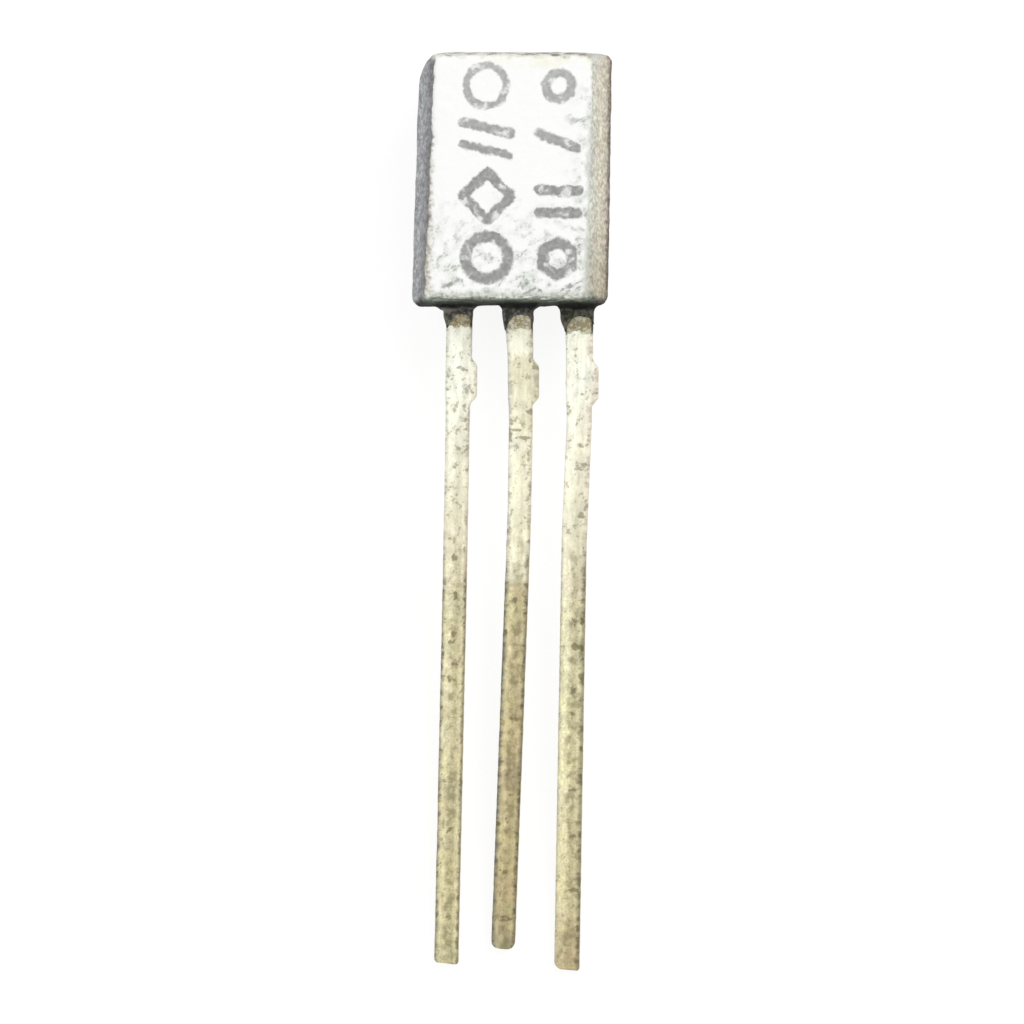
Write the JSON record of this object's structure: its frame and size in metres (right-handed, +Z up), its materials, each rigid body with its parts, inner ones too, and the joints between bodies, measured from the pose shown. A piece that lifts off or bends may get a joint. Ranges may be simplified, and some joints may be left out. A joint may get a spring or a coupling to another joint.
{
  "type": "to-92 transistor",
  "caption": "Small-signal transistor in a flat-faced, round-backed moulded case with long straight uncut leads from one end.",
  "frame": {"origin": "on the ground under the middle of the lying part's box", "axes": "+Z up; the part lies on its round back with its flat face up; +Y runs from the lead tips to the case, +X to the right as the flat face is read with the leads down; the flat face leans 7.49 degrees towards the leads"},
  "size_m": [0.0042, 0.0194, 0.0041],
  "materials": {
    "resin": "matte",
    "tinned_lead": "satin",
    "solder": "satin",
    "silicon": "gloss",
    "gold_wire": "polished"
  },
  "bodies": {
    "root": {"case": "resin", "collector_lead": "tinned_lead", "base_lead": "tinned_lead", "emitter_lead": "tinned_lead", "die_attach": "solder", "die": "silicon", "base_bond_wire": "gold_wire", "emitter_bond_wire": "gold_wire"}
  },
  "joints": []
}
